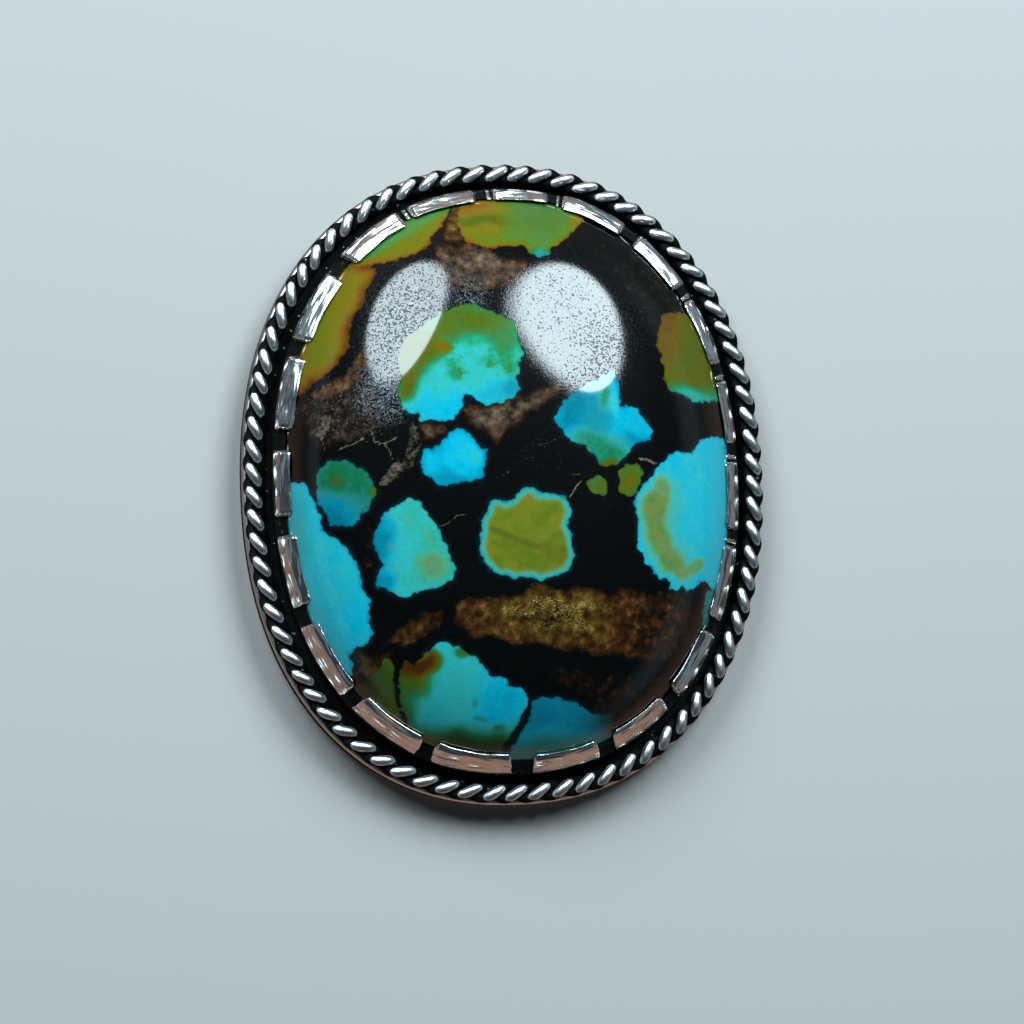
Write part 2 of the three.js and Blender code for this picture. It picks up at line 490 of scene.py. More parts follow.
def make_bezel_tree():
    """A sheet of columns round the line, each with the wall's section, or a tab's where a tab stands."""
    kinds = dict.fromkeys(("Tab Marks", *SECTIONS), "Object")
    kinds |= {"Columns": "Int", "Rows": "Int", "Material": "Material"}
    kinds |= dict.fromkeys(("Girth", "End Radius", "Unevenness"), "Float")
    tree, given = new_tree("Notched bezel", kinds)
    inputs = {"Vertices X": given["Columns"] + 1, "Vertices Y": given["Rows"] + 1}
    sheet = Node(tree, "GeometryNodeMeshGrid", inputs)["Mesh"]
    place = parts_of(position(tree))
    share = place["X"] + 0.5
    row = worked_out("ROUND", (place["Y"] + 0.5) * given["Rows"])
    row = worked_out("MODULO", row, given["Rows"])
    walked = share * given["Girth"]

    # The tab that is nearest, and its section
    marks = points_of(given["Tab Marks"])
    inputs = {"Geometry": marks, "Sample Position": joined(tree, walked, 0.0, 0.0)}
    tab = Node(tree, "GeometryNodeSampleNearest", inputs)["Index"]
    middle = parts_of(read_at(marks, position(tree), tab, "FLOAT_VECTOR"))["X"]
    half, fold, breadth, side, has_burr = (read_at(marks, kept_number(tree, name), tab, "FLOAT")
                                           for name in TAB_NUMBERS)
    wall, plain_section, *other_sections = (
        read_at(points_of(given[name]), position(tree), row, "FLOAT_VECTOR") for name in SECTIONS)
    tab_section = plain_section
    for other, share_of_other in zip(other_sections, (fold, breadth, side)):
        tab_section = tab_section + (other - plain_section) * share_of_other

    # The ends were cut a little aslant, and are rounded
    slant = spread(noise(joined(tree, middle, 0.0, 0.0), TAB_SLANTS), 1.0)
    over_notch = parts_of(tab_section)["Y"] - NOTCH_HEIGHT
    from_middle = slant * over_notch + (walked - middle)
    inside = (half - abs(from_middle)) / given["End Radius"]
    short = 1.0 - Node(tree, "ShaderNodeClamp", {"Value": inside})[0]
    standing = worked_out("SQRT", 1.0 - short * short)
    burr = smooth(inside, BURR_END, BURR_FULL) * worked_out("LESS_THAN", inside, BURR_START)
    burr = burr * worked_out("GREATER_THAN", from_middle, 0.0)
    rise = larger(standing, burr * (has_burr * BURR_HEIGHT))
    section = wall + (tab_section - wall) * rise
    outward, upward = (parts_of(section)[part] for part in "XY")
    across = (upward - outward) * DENTS_ACROSS
    on_band = joined(tree, walked * DENTS_ALONG, across, middle * DENTS_BY_TAB)
    dents = Node(tree, "ShaderNodeTexNoise", {"Vector": on_band, "Scale": 1.0, "Detail": 1.0})["Color"]
    dents = (dents - (0.5, 0.5, 0.5)) * given["Unevenness"]
    section = parts_of(section + dents * rise)

    inputs = {"Curves": given["Line"], "Factor": share}
    on_line = Node(tree, "GeometryNodeSampleCurve", inputs, mode="FACTOR")
    target = on_line["Position"] + outward_of(on_line["Tangent"]) * section["X"]
    target = target + joined(tree, 0.0, 0.0, section["Y"])
    black_up_to = breadth * BROAD_TAB_BLACK + TAB_BLACK_HEIGHT
    rubbed = smooth(upward - black_up_to, 0.0, RUBBED_EDGE) * smooth(rise, 0.3, 0.6)
    sheet = keep(sheet, "rubbed", rubbed, "FLOAT")
    sheet = keep(sheet, "on_band", on_band, "FLOAT_VECTOR")
    sheet = Node(tree, "GeometryNodeSetPosition", {"Geometry": sheet, "Position": target})[0]
    sheet = Node(tree, "GeometryNodeMergeByDistance", {"Geometry": sheet, "Distance": SEAM})[0]
    finish_tree(sheet, given["Material"])
    return tree


def number_on_mesh(tree, name):
    """A number kept on the mesh, in a material."""
    return Node(tree, "ShaderNodeAttribute", attribute_name=name)["Fac"]


def where_rubbed(tree):
    """The mask of what the rubbing reached."""
    return number_on_mesh(tree, "rubbed")


def place_on_band(tree):
    """The point along and across the strip."""
    return Node(tree, "ShaderNodeAttribute", attribute_name="on_band")["Vector"]


starts, ends, *tab_shapes = np.array(TABS).T
middles = (starts + ends) / 2 * MM
tab_marks = row_of_points("tab_marks", np.column_stack((middles, 0 * middles, 0 * middles)))
for name, values in zip(TAB_NUMBERS, ((ends - starts) / 2 * MM, *tab_shapes)):
    store(tab_marks.data, name, values)
girdle = oval(0, np.arange(OVAL_STEPS) / OVAL_STEPS)
girth = np.linalg.norm(girdle - np.roll(girdle, 1, axis=0), axis=1).sum()
section_lines = {name: section_line(name, top) for name, top in SECTIONS.items()}
bezel_values = section_lines | {
    "Tab Marks": tab_marks,
    "Columns": BEZEL_COLUMNS,
    "Rows": len(section_lines["Wall Section"].data.vertices),
    "Girth": float(girth),
    "End Radius": TAB_END_RADIUS,
    "Unevenness": TAB_UNEVENNESS,
    "Material": silver_material("filed silver", place_on_band, where_rubbed,
                                tarnish=0.25, dullness=0.12, wave=0.08 * MM),
}
bezel = grow("silver_bezel", make_bezel_tree(), oval_curve("bezel_line", 0, 0, BOTTOM_END), bezel_values)
for helper in (tab_marks, *section_lines.values()):
    bpy.data.objects.remove(helper)
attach(bezel, "root")
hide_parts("bezel")

# Rope
# Two round silver wires twisted together, laid on the plate round the bezel and soldered down. The oxide
# stays in the furrows between the wires, and the crests are rubbed bright.
ROPE_OFFSET = 1.54 * MM
ROPE_TURNS = 39
WIRE_RADIUS = 0.31 * MM
TWIST_RADIUS = 0.30 * MM
TWIST_WAVES = 0.35 / MM
TWIST_UNEVENNESS = 1.2  # radians
BLACK_TO, BRIGHT_FROM = 0.25 * MM, 0.55 * MM  # above the rope's middle
STEPS_PER_TURN = 24
WIRE_SIDES = 14
rope_low, rope_high = (np.array(corner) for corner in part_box("rope_wire_a"))


def make_rope_tree():
    """One wire: the line is wound round itself and thickened."""
    kinds = dict.fromkeys(("Turns", "Start Angle", "Twist Radius", "Wire Radius", "Rope Height"), "Float")
    tree, given = new_tree("Twisted wire", kinds | {"Steps": "Int", "Sides": "Int", "Material": "Material"})
    line = Node(tree, "GeometryNodeResampleCurve", {"Curve": given["Line"], "Count": given["Steps"]})[0]
    share = Node(tree, "GeometryNodeInputIndex")[0] / given["Steps"]
    uneven = noise(position(tree), TWIST_WAVES, 1.0)
    angle = share * (2 * math.pi) * given["Turns"] + given["Start Angle"] + spread(uneven, TWIST_UNEVENNESS)
    outward = outward_of(Node(tree, "GeometryNodeInputTangent")[0]) * worked_out("COSINE", angle)
    offset = (outward + joined(tree, 0.0, 0.0, worked_out("SINE", angle))) * given["Twist Radius"]
    line = Node(tree, "GeometryNodeSetPosition", {"Geometry": line, "Offset": offset})[0]
    inputs = {"Resolution": given["Sides"], "Radius": given["Wire Radius"]}
    round_section = Node(tree, "GeometryNodeCurvePrimitiveCircle", inputs)["Curve"]
    wire = Node(tree, "GeometryNodeCurveToMesh", {"Curve": line, "Profile Curve": round_section})[0]
    height = parts_of(position(tree))["Z"] - given["Rope Height"]
    wire = keep(wire, "rubbed", smooth(height, BLACK_TO, BRIGHT_FROM), "FLOAT")
    finish_tree(wire, given["Material"])
    return tree


rope_middle = (rope_low[2] + rope_high[2]) / 2
rope_tree = make_rope_tree()
rope_values = {
    "Turns": float(ROPE_TURNS),
    "Steps": ROPE_TURNS * STEPS_PER_TURN,
    "Twist Radius": TWIST_RADIUS,
    "Wire Radius": WIRE_RADIUS,
    "Sides": WIRE_SIDES,
    "Rope Height": float(rope_middle),
    "Material": silver_material("rope silver", place_in_mm, where_rubbed,
                                tarnish=0.15, dullness=0.26, wave=0.04 * MM),
}
for name, start_angle in (("rope_wire_a", 0.0), ("rope_wire_b", math.pi)):
    wire_line = oval_curve(name + "_line", ROPE_OFFSET, rope_middle, 0.0)
    wire = grow("silver_" + name, rope_tree, wire_line, rope_values | {"Start Angle": start_angle})
    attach(wire, "root")
    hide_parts(name)

# Stone
# An oval cabochon cut from turquoise that fills the hollows of a black and brown matrix, ground to a dome
# and polished. It sits on the plate inside the bezel, held by the tabs.
GIRDLE_HEIGHT = 2.6 * MM
DOME_POWER = 2.3
STONE_GRID = 308
PROFILE_STEPS = 2000
DEEPEST = 3.0  # mm
OUTSIDE_ALL = 99.0  # mm
# Each patch of turquoise: its outline in the picture's pixels, how far it has aged, from blue below 0 by
# way of green to amber at 1, and its tone. A rim has its own age, tone and width in mm. Spots have a middle,
# two half sizes, an age and a tone, and veins half a width, an age, a tone and a line. Mottle is spots of
# older grains with an amount. Gilding is an olive stain, between two depths in mm or along lines of half a
# width and an amount. Tone is the stone's own lightness, but the low tones of spots along the stone's lower
# edge are painted shade and a painted dull reflection.
PATCHES = {
    "upper left sliver": dict(
        outline=[(340, 272), (385, 262), (402, 259), (414, 254), (428, 247), (433, 237), (440, 228),
            (448, 216), (453, 204), (452, 170), (400, 180), (350, 215), (325, 255)],
        age=0.70, rim_age=0.86, rim_width=0.5, spots=[],
        veins=[(9, 0.50, 1.0, [(366, 250), (400, 230), (430, 211), (450, 201)])]),
    "top": dict(
        outline=[(460, 170), (459, 205), (456, 222), (463, 240), (480, 246), (490, 249), (503, 246),
            (525, 247), (530, 253), (540, 257), (548, 255), (552, 248), (562, 242), (570, 236), (584, 219),
            (580, 180), (520, 160)],
        age=0.60, rim_age=0.85, rim_width=0.45,
        spots=[(540, 216, 38, 24, 0.53, 0.75), (478, 212, 26, 26, 0.86, 1.0), (482, 220, 26, 6, 0.64, 0.6),
            (577, 221, 9, 10, 0.80, 1.0), (541, 254, 11, 7, 0.22, 0.50)]),
    "left above": dict(
        outline=[(350, 262), (372, 267), (377, 273), (372, 283), (366, 290), (366, 300), (361, 310),
            (353, 318), (350, 330), (350, 343), (345, 355), (338, 362), (330, 372), (322, 380), (313, 383),
            (303, 395), (255, 400), (270, 340), (300, 285), (335, 245)],
        age=0.77, rim_age=0.98, rim_width=0.85, tone_and_shade=1.1,
        spots=[(322, 340, 12, 30, 0.72, 1.1)]),
    "upper middle": dict(
        outline=[(443, 312), (460, 305), (473, 303), (485, 308), (497, 315), (510, 318), (517, 328),
            (519, 340), (524, 355), (518, 362), (520, 372), (516, 378), (521, 388), (515, 396), (505, 402),
            (493, 404), (485, 405), (472, 397), (466, 394), (463, 398), (465, 403), (458, 412), (452, 420),
            (440, 421), (421, 421), (418, 412), (410, 413), (403, 408), (398, 395), (401, 376), (398, 365),
            (399, 350), (407, 337), (425, 323)],
        age=0.20, rim_age=0.30, rim_width=0.3,
        spots=[(490, 326, 40, 18, 0.50, 0.9), (466, 316, 36, 14, 0.62, 0.8), (429, 343, 14, 21, 0.66, 0.9),
            (442, 347, 9, 8, 0.80, 1.0), (455, 409, 60, 18, 0.00, 1.0), (407, 380, 11, 22, 0.72, 0.75),
            (500, 393, 24, 12, 0.06, 0.85), (413, 350, 20, 26, 0.74, 0.7), (447, 329, 14, 13, 0.62, 0.85),
            (415, 368, 8, 12, 0.66, 0.8), (506, 343, 15, 16, 0.46, 0.9), (492, 361, 11, 7, 0.36, 0.95),
            (508, 364, 8, 13, 0.40, 0.9), (456, 374, 8, 8, 0.40, 0.9), (449, 363, 9, 6, 0.36, 0.95),
            (477, 342, 11, 6, 0.34, 1.0), (513, 387, 12, 13, 0.10, 0.6)],
        mottle=[(498, 362, 24, 16, 0.5), (456, 352, 18, 12, 0.5), (461, 374, 14, 9, 0.5)]),
    "middle blue": dict(
        outline=[(457, 428), (465, 430), (473, 438), (480, 447), (487, 450), (486, 460), (485, 468),
            (481, 480), (470, 481), (460, 482), (448, 486), (438, 486), (430, 478), (423, 472), (421, 462),
            (423, 450), (432, 449), (440, 444), (448, 435)],
        age=0.00, rim_age=-0.10, rim_width=0.5,
        spots=[(460, 450, 18, 15, 0.03, 1.08), (450, 486, 40, 14, -0.12, 0.9),
            (477, 459, 7, 9, 0.16, 1.0)]),
    "two lobes": dict(
        outline=[(614, 368), (617, 381), (620, 394), (620, 407), (625, 405), (637, 409), (648, 423),
            (652, 430), (650, 440), (642, 443), (636, 444), (630, 452), (622, 460), (615, 466), (598, 466),
            (597, 458), (590, 452), (586, 445), (572, 442), (565, 435), (560, 428), (554, 418), (558, 410),
            (565, 400), (572, 394), (580, 388), (590, 382), (606, 374)],
        age=-0.04,
        spots=[(576, 408, 26, 27, -0.03, 0.48), (597, 418, 16, 22, 0.05, 0.57),
            (590, 441, 26, 12, 0.31, 0.62), (638, 422, 18, 14, 0.02, 0.88), (634, 441, 18, 9, -0.06, 0.62),
            (605, 396, 8, 16, 0.34, 0.62), (615, 403, 4, 12, 0.20, 1.0), (607, 454, 32, 15, 0.37, 0.62),
            (608, 466, 14, 6, 0.72, 0.7)]),
    "small olive": dict(
        outline=[(587, 484), (592, 477), (600, 475), (606, 480), (609, 487), (607, 494), (600, 495),
            (592, 492)],
        age=0.56, tone_and_shade=0.75, spots=[(599, 486, 5, 5, 0.68, 0.75)]),
    "second small olive": dict(
        outline=[(618, 472), (626, 465), (636, 464), (643, 469), (640, 485), (637, 493), (630, 497),
            (622, 494), (617, 487), (620, 480)],
        age=0.58, tone_and_shade=0.75, spots=[(629, 482, 7, 9, 0.74, 0.8)]),
    "right large": dict(
        outline=[(700, 441), (712, 436), (770, 450), (770, 600), (713, 592), (705, 580), (700, 582),
            (688, 593), (681, 587), (676, 591), (670, 588), (668, 578), (660, 580), (650, 567), (645, 563),
            (643, 553), (637, 549), (638, 520), (634, 500), (638, 493), (650, 476), (660, 465), (668, 457),
            (675, 452), (692, 453)],
        age=0.07, spots=[],
        gilt_veins=[(17, 0.70, [(661, 486), (656, 502)]), (23, 0.80, [(656, 502), (656, 530)]),
            (20, 0.76, [(656, 530), (663, 549), (672, 562)]), (15, 0.72, [(672, 562), (684, 571)]),
            (11, 0.64, [(684, 571), (698, 567)]), (26, 0.36, [(666, 492), (664, 530), (674, 554)])]),
    "right above": dict(
        outline=[(664, 312), (680, 312), (760, 330), (760, 402), (709, 402), (692, 402), (686, 396),
            (672, 392), (667, 385), (663, 378), (665, 370), (661, 362), (662, 355), (657, 347), (658, 335),
            (660, 322)],
        age=0.74, tone_and_shade=0.7,
        spots=[(666, 330, 16, 36, 0.86, 0.65), (696, 352, 22, 26, 0.68, 0.65),
            (688, 400, 44, 16, 0.27, 0.75)]),
    "left round": dict(
        outline=[(330, 460), (347, 460), (355, 466), (365, 470), (369, 478), (377, 489), (377, 494),
            (372, 500), (370, 508), (362, 513), (360, 520), (352, 527), (330, 525), (325, 515), (317, 498),
            (316, 475), (322, 468)],
        age=0.40, rim_age=0.30, rim_width=0.4, rim_tone=0.45, tone_and_shade=0.5,
        spots=[(338, 512, 42, 20, 0.18, 0.42), (327, 521, 34, 24, -0.12, 0.62),
            (338, 480, 7, 6, 0.50, 0.55), (374, 491, 6, 7, 0.62, 0.7)]),
    "left large": dict(
        outline=[(240, 484), (298, 482), (305, 483), (310, 490), (320, 515), (322, 530), (335, 538),
            (345, 546), (352, 555), (358, 568), (363, 590), (370, 598), (368, 615), (371, 625), (373, 635),
            (368, 644), (353, 650), (350, 655), (353, 668), (346, 690), (300, 680), (240, 600)],
        age=0.09, rim_age=0.0, rim_width=0.3, tone_and_shade=1.08,
        spots=[(297, 535, 11, 50, 0.15, 0.9), (355, 625, 14, 26, 0.02, 1.15)]),
    "three-sided": dict(
        outline=[(408, 497), (418, 500), (428, 515), (435, 522), (440, 533), (447, 545), (452, 558),
            (456, 570), (453, 580), (437, 588), (418, 592), (408, 597), (400, 598), (385, 589), (378, 588),
            (375, 583), (382, 565), (375, 550), (373, 540), (376, 530), (385, 513), (398, 504)],
        age=0.20,
        spots=[(380, 542, 16, 30, -0.06, 0.6), (381, 583, 16, 12, -0.04, 0.7),
            (435, 566, 19, 20, 0.33, 0.95), (430, 540, 14, 16, 0.30, 1.0), (414, 520, 14, 18, 0.26, 1.0)],
        gilt_veins=[(19, 0.60, [(430, 563), (435, 568)]), (4, 0.34, [(406, 515), (411, 526)]),
            (5, 0.40, [(427, 531), (429, 541)]), (4, 0.34, [(389, 545), (392, 549)])]),
    "square": dict(
        outline=[(525, 487), (535, 487), (539, 493), (558, 494), (566, 497), (572, 512), (567, 525),
            (571, 532), (575, 555), (568, 572), (550, 578), (540, 581), (533, 577), (515, 579), (507, 575),
            (498, 576), (484, 562), (479, 548), (482, 530), (482, 520), (488, 510), (490, 502), (498, 498),
            (505, 502), (512, 500), (518, 493)],
        age=0.18, rim_age=0.16, rim_width=0.5, rim_tone=0.75, spots=[], gilt_depth=(-0.05, 0.62),
        veins=[(3, 0.14, 0.7, [(492, 529), (520, 540), (548, 550)]), (8, 0.14, 0.8, [(548, 550),
            (561, 556)])]),
    # The wide dim spot low on this patch, at the stone's lower edge, is painted shade and a painted dull
    # reflection, not the stone's colour.
    "bottom large": dict(
        outline=[(430, 650), (437, 643), (445, 640), (452, 645), (462, 648), (470, 655), (475, 656),
            (487, 670), (490, 675), (505, 679), (509, 686), (521, 688), (529, 699), (523, 715), (515, 728),
            (500, 752), (480, 810), (400, 800), (407, 722), (400, 702), (399, 685), (400, 670), (406, 661),
            (413, 665), (419, 661), (424, 655)],
        age=0.17,
        spots=[(500, 702, 34, 32, -0.02, 1.0), (450, 692, 30, 30, 0.18, 0.95),
            (408, 678, 24, 20, 0.68, 0.7), (402, 708, 16, 34, 0.50, 0.6), (455, 750, 90, 22, 0.56, 0.25),
            (463, 651, 12, 5, 0.50, 0.7), (474, 702, 5, 6, 0.20, 0.6), (482, 719, 6, 4, 0.20, 0.6),
            (497, 728, 6, 5, 0.35, 0.45), (408, 666, 16, 10, 0.84, 0.3), (421, 667, 14, 9, 1.0, 0.6),
            (429, 662, 11, 12, 1.0, 0.55)]),
    # The dim spots of this patch, at the stone's lower left edge, are painted shade and a painted dull
    # reflection.
    "bottom left": dict(
        outline=[(385, 658), (392, 660), (395, 672), (394, 695), (403, 722), (400, 770), (340, 700),
            (366, 680), (376, 672)],
        age=0.60, spots=[(380, 690, 40, 50, 0.60, 0.5), (362, 692, 16, 30, 0.60, 0.15)]),
    # The dim spots of this patch along the stone's lower edge are painted shade and a painted dull
    # reflection.
    "bottom right": dict(
        outline=[(533, 700), (545, 697), (560, 698), (575, 702), (590, 712), (612, 715), (620, 760),
            (560, 800), (500, 800), (506, 757), (520, 735), (530, 718)],
        age=-0.13, tone_and_shade=0.75,
        spots=[(565, 749, 70, 20, 0.25, 0.5), (598, 722, 18, 16, 0.0, 0.35),
            (614, 722, 16, 24, 0.2, 0.08)]),
    "right edge sliver": dict(
        outline=[(706, 590), (716, 588), (740, 600), (715, 640), (702, 622)],
        age=0.20, spots=[(708, 608, 20, 30, 0.20, 0.35)]),
}
# Brown ground in the black: an outline in the picture's pixels, how strong it is, and its hue, from gold at
# 0 by way of red at 1 to grey at 2
BROWN_GROUND = {
    "wide band": ([(453, 605), (470, 597), (515, 598), (534, 585), (590, 590), (632, 591), (644, 604),
        (630, 626), (642, 642), (628, 658), (612, 656), (526, 644), (470, 634), (457, 622)], 0.80, 0.88),
    "band's golden middle": ([(496, 606), (534, 591), (585, 596), (616, 607), (610, 628), (582, 637),
        (540, 636), (500, 626)], 1.16, 0.0),
    "band's right end": ([(612, 591), (668, 592), (692, 600), (692, 636), (668, 665), (612, 657)],
        0.52, 0.95),
    "beside the band": ([(383, 644), (398, 627), (420, 616), (442, 608), (440, 624), (425, 636),
        (404, 648)], 0.70, 0.95),
    "dim lower right": ([(540, 662), (600, 670), (680, 680), (650, 720), (606, 716), (566, 690)],
        0.36, 1.0),
    "vein under the upper middle": ([(460, 409), (490, 404), (525, 394), (566, 380), (560, 394), (530, 412),
        (505, 432), (496, 443), (480, 430)], 0.9, 1.65),
    "bit at its left": ([(418, 425), (430, 422), (446, 424), (450, 432), (435, 440), (422, 438)],
        0.8, 1.65),
    "left ground": ([(296, 395), (340, 380), (380, 385), (388, 420), (360, 446), (310, 448)], 0.43, 1.5),
    "left red vein": ([(312, 394), (335, 384), (355, 370), (368, 344), (374, 348), (362, 372), (340, 392),
        (322, 400)], 1.4, 1.15),
    "top": ([(433, 246), (470, 243), (500, 254), (528, 262), (526, 284), (470, 290), (438, 284)],
        0.92, 1.55),
    "top cleft": ([(450, 204), (460, 204), (462, 238), (446, 240)], 0.9, 0.2),
    "upper right": ([(585, 230), (625, 238), (668, 285), (692, 332), (655, 330), (630, 300), (600, 270)],
        0.28, 0.5),
    "left of three-sided": ([(365, 528), (376, 530), (374, 550), (376, 570), (365, 570)], 0.5, 1.2),
    "bottom left": ([(360, 655), (384, 648), (396, 654), (384, 668), (368, 688), (356, 674)], 0.55, 0.5),
}
# Tan veins: half a width, how strong, and a line in the picture's pixels
TAN_VEINS = {
    "fork": (6.0, 0.70, [(413, 428), (414, 446), (411, 461), (399, 469)]),
    "fork's end": (6.0, 0.85, [(399, 469), (389, 474), (383, 481)]),
    "along the red vein": (6.0, 0.55, [(316, 394), (338, 386), (357, 370), (369, 348)]),
    "left spot": (4.5, 0.9, [(326, 420), (327, 427), (321, 436)]),
    "left spot's tail": (1.0, 1.0, [(321, 436), (324, 447)]),
    "scratch left of the fork": (1.0, 1.1, [(336, 451), (350, 446), (362, 440)]),
    "scratch by the fork": (1.0, 1.2, [(369, 431), (374, 440), (386, 443), (391, 454), (393, 462)]),
    "scratch above it": (1.0, 1.1, [(381, 444), (395, 440)]),
    "crack to the three-sided": (1.0, 0.95, [(441, 526), (455, 518), (470, 516)]),
    "crack by the olive": (1.0, 1.2, [(569, 494), (584, 482)]),
    "crack right of the lobes": (1.0, 1.2, [(639, 456), (650, 460), (657, 466)]),
    "hairline": (0.7, 0.75, [(522, 452), (540, 442), (562, 438)]),
    "second hairline": (0.7, 0.7, [(500, 474), (516, 462), (534, 459)]),
    "third hairline": (0.7, 0.7, [(556, 466), (568, 474), (584, 476)]),
}
# Clouds of fine light specks: pale flecks in the matrix and, round the lamps' reflections, painted sparkle
# of their light. Each has a middle, two half sizes and how dense it is
SPECKS_AND_SPARKLE = [(485, 268, 64, 40, 0.4), (470, 296, 36, 34, 0.6), (406, 335, 62, 90, 0.65),
    (382, 392, 44, 46, 0.72), (352, 408, 80, 58, 0.45), (604, 330, 70, 80, 0.40), (540, 447, 54, 30, 0.30)]
# Where the polish left pits: a middle, two half sizes and how dense
PITS = [(405, 325, 60, 80, 0.76), (604, 345, 34, 36, 0.75), (560, 300, 40, 50, 0.32),
    (590, 375, 30, 14, 0.75)]


def depth_inside(points, outline):
    """How far points lie inside an outline: negative outside."""
    outline = np.array(outline, float)
    nearest = np.full(len(points), np.inf)
    inside = np.zeros(len(points), bool)
    for start, end in zip(outline, np.roll(outline, -1, 0)):
        nearest = np.minimum(nearest, from_line(points, start, end))
        crosses = (start[1] > points[:, 1]) != (end[1] > points[:, 1])
        rise = end[1] - start[1] or 1e-9
        crossing = start[0] + (points[:, 1] - start[1]) / rise * (end[0] - start[0])
        inside ^= crosses & (points[:, 0] < crossing)
    return np.where(inside, nearest, -nearest)


def from_line(points, start, end):
    """How far points are from a straight line between two points."""
    along = end - start
    share = np.clip((points - start) @ along / (along @ along), 0, 1)
    return np.linalg.norm(points - start - share[:, None] * along, axis=1)


def eased(values):
    """Values held between 0 and 1 and eased at both ends."""
    held = np.clip(values, 0, 1)
    return held * held * (3 - 2 * held)


def in_spot(x, y, half_width, half_height):
    """1 well inside a soft spot and 0 well outside it."""
    away = (wavy_pixels - (x, y)) / (half_width, half_height)
    return eased(1.2 - 0.8 * np.hypot(*away.T))


def from_vein(points, vein):
    """How far points are from a line of several stretches."""
    corners = np.array(vein, float)
    return np.min([from_line(points, start, end) for start, end in zip(corners, corners[1:])], axis=0)


def along_vein(points, half_width, vein):
    """1 along a line in the picture and 0 away from it."""
    return eased(1.5 - from_vein(points, vein) / half_width)


def wavy(points):
    """Points of the picture moved a little to and fro, so that what is laid out by them has uneven edges."""
    x, y = points.T
    to_right = 1.8 * np.sin(y / 8 + 2 * np.sin(x / 19)) + 1.0 * np.sin(x / 4 + y / 7)
    downward = 1.8 * np.sin(x / 7 + 2 * np.sin(y / 17)) + 1.0 * np.sin(y / 5 - x / 6)
    return points + np.column_stack((to_right, downward))


# A square grid pressed to a round, walked evenly up the dome, and then pressed to the oval
line = np.linspace(-1, 1, STONE_GRID + 1)
across, along = (values.ravel() for values in np.meshgrid(line, line))
wide = np.abs(across) >= np.abs(along)
radius = np.where(wide, across, along)
slope = np.divide(np.where(wide, along, across), radius, out=np.zeros_like(radius), where=radius != 0)
turn = np.pi / 4 * slope
turn = np.where(wide, turn, np.pi / 2 - turn) + np.where(radius < 0, np.pi, 0)
radius = np.abs(radius)
profile = np.linspace(0, np.pi / 2, PROFILE_STEPS + 1)
profile_rise = np.cos(profile)
profile_radius = (1 - profile_rise ** 2) ** (1 / DOME_POWER)
dome_height = stone_high[2] - GIRDLE_HEIGHT
steps = np.hypot(np.diff(profile_rise) * dome_height, np.diff(profile_radius) * stone_high[0])
walked = np.concatenate(([0], np.cumsum(steps)))
dome_points = oval(0, turn / (2 * np.pi))
dome_points *= np.interp(radius * walked[-1], walked, profile_radius)[:, None]
dome_rise = np.interp(radius * walked[-1], walked, profile_rise) * dome_height
dome_points = np.insert(dome_points, 2, GIRDLE_HEIGHT + dome_rise, axis=1)
numbers = np.arange((STONE_GRID + 1) ** 2).reshape(STONE_GRID + 1, -1)
squares = np.stack((numbers[:-1, :-1], numbers[:-1, 1:], numbers[1:, 1:], numbers[1:, :-1]), axis=-1)
rim = np.concatenate((numbers[0, :-1], numbers[:-1, -1], numbers[-1, :0:-1], numbers[:0:-1, 0]))
foot = len(dome_points) + np.arange(len(rim))
foot_points = dome_points[rim] * (1, 1, 0) + (0, 0, stone_low[2])
stone_points = np.concatenate((dome_points, foot_points, [(0, 0, stone_low[2])]))
stone_faces = squares.reshape(-1, 4).tolist() + wall_faces(foot, rim)
stone_faces += cap_faces(len(stone_points) - 1, foot, upward=False)
stone = new_piece("turquoise_cabochon", stone_points, stone_faces)
stone_pixels = in_picture(stone_points)
wavy_pixels = wavy(stone_pixels)

none = np.zeros(len(stone_points))
patch_numbers = {"turquoise_depth": none - OUTSIDE_ALL, "turquoise_age": none, "turquoise_tone": none + 1.0,
                 "mottle": none, "gilding": none}
for patch in PATCHES.values():
    depth = depth_inside(stone_pixels, patch["outline"]) / PICTURE_PIXELS_PER_MM
    age = none + patch["age"]
    tone_and_shade = none + patch.get("tone_and_shade", 1.0)
    mottle = gilding = none
    if "rim_age" in patch:
        share = eased(1 - depth / patch["rim_width"])
        age += share * (patch["rim_age"] - age)
        tone_and_shade += share * (patch.get("rim_tone", 1.0) - tone_and_shade)
    marks = [(in_spot(*spot), new_age, new_tone_and_shade) for *spot, new_age, new_tone_and_shade in patch["spots"]]
    for half_width, new_age, new_tone_and_shade, vein in patch.get("veins", []):
        marks.append((along_vein(stone_pixels, half_width, vein), new_age, new_tone_and_shade))
    for share, new_age, new_tone_and_shade in marks:
        age += share * (new_age - age)
        tone_and_shade += share * (new_tone_and_shade - tone_and_shade)
    for *spot, amount in patch.get("mottle", []):
        mottle = np.maximum(mottle, amount * in_spot(*spot))
    if "gilt_depth" in patch:
        shallow, deep = patch["gilt_depth"]
        gilding = eased((depth - shallow) / (deep - shallow))
    for half_width, amount, vein in patch.get("gilt_veins", []):
        share = np.clip(1.5 - 1.5 * from_vein(wavy_pixels, vein) / half_width, 0, 1)
        gilding = np.maximum(gilding, amount * share)
    nearer = depth > patch_numbers["turquoise_depth"]
    for name, values in zip(patch_numbers, (depth, age, tone_and_shade, mottle, gilding)):
        patch_numbers[name] = np.where(nearer, values, patch_numbers[name])
brown = redness = tan = none
for outline, strength, red in BROWN_GROUND.values():
    depth = depth_inside(wavy_pixels, outline) / PICTURE_PIXELS_PER_MM
    brown = np.maximum(brown, strength * eased(0.5 + depth))
    redness = redness + eased(0.6 + depth / 1.6) * (red - redness)
